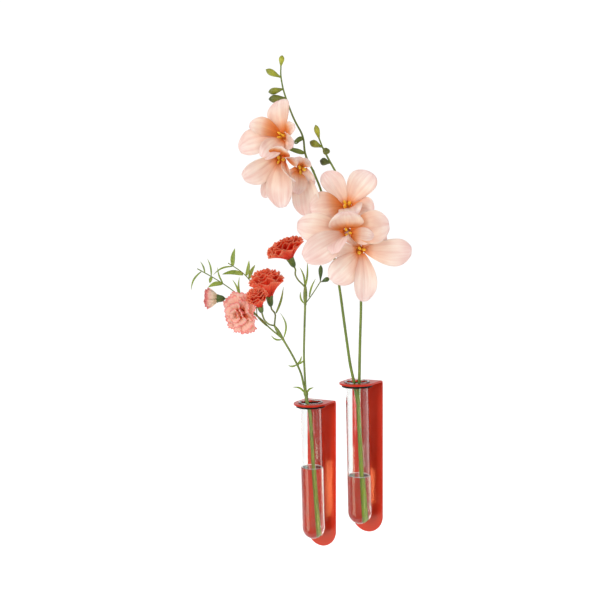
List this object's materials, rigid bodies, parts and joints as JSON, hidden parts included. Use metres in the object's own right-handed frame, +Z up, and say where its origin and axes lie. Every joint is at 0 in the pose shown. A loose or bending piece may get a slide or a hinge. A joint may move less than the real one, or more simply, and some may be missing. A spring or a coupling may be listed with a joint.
{
  "type": "wall mounted glass flower tube pair",
  "caption": "Pair of wall mounted glass flower tubes that hang in bent sheet brackets, holding a carnation spray and a freesia spray.",
  "frame": {"origin": "centre of the wall face of the left unit's adhesive pad", "axes": "+X right along the wall, +Y into the wall, +Z up"},
  "size_m": [0.2372, 0.1472, 0.5295],
  "materials": {
    "coral_paint": "satin powder coat",
    "pad_foam": "matt foam",
    "black_rubber": "matt",
    "clear_glass": "clear polished",
    "carnation_green": "matt plant skin",
    "freesia_green": "matt plant skin",
    "bud_green": "waxy plant skin",
    "stamen_yellow": "matt",
    "freesia_petal": "soft petal",
    "freesia_throat": "soft petal",
    "coral_petal": "soft petal",
    "pink_petal": "soft petal"
  },
  "bodies": {
    "wall_brackets": {"left_adhesive_pad": "pad_foam", "left_bracket": "coral_paint", "left_rubber_ring": "black_rubber", "right_adhesive_pad": "pad_foam", "right_bracket": "coral_paint", "right_rubber_ring": "black_rubber"},
    "left_tube": {"left_glass_tube": "clear_glass"},
    "right_tube": {"right_glass_tube": "clear_glass"},
    "carnation_spray": {"carnation_leaves": "carnation_green", "carnation_stem": "carnation_green", "coral_carnation_calyx": "carnation_green", "coral_carnation_petals": "coral_petal", "green_buds": "carnation_green", "high_carnation_calyx": "carnation_green", "high_carnation_petals": "coral_petal", "pink_bud_calyx": "carnation_green", "pink_bud_petals": "pink_petal", "pink_carnation_calyx": "carnation_green", "pink_carnation_petals": "pink_petal", "small_coral_carnation_calyx": "carnation_green", "small_coral_carnation_petals": "coral_petal"},
    "freesia_spray": {"freesia_calyxes": "freesia_green", "freesia_stamens": "stamen_yellow", "freesia_stem": "freesia_green", "lower_front_blossom_funnel": "freesia_throat", "lower_front_blossom_petals": "freesia_petal", "lower_right_blossom_funnel": "freesia_throat", "lower_right_blossom_petals": "freesia_petal", "lower_top_blossom_funnel": "freesia_throat", "lower_top_blossom_petals": "freesia_petal", "short_spike_buds": "bud_green", "tall_spike_buds": "bud_green", "upper_front_blossom_funnel": "freesia_throat", "upper_front_blossom_petals": "freesia_petal", "upper_left_blossom_funnel": "freesia_throat", "upper_left_blossom_petals": "freesia_petal", "upper_right_blossom_funnel": "freesia_throat", "upper_right_blossom_petals": "freesia_petal"}
  },
  "joints": [
    {"name": "left_tube_lift", "type": "slide", "parent": "wall_brackets", "child": "left_tube", "axis": [0, -0.0454, 0.999], "range_m": [0, 0.165]},
    {"name": "right_tube_lift", "type": "slide", "parent": "wall_brackets", "child": "right_tube", "axis": [0, -0.0454, 0.999], "range_m": [0, 0.165]},
    {"name": "carnation_lift", "type": "slide", "parent": "left_tube", "child": "carnation_spray", "axis": [0, -0.0454, 0.999], "range_m": [0, 0.16]},
    {"name": "freesia_lift", "type": "slide", "parent": "right_tube", "child": "freesia_spray", "axis": [0, -0.0454, 0.999], "range_m": [0, 0.16]}
  ]
}
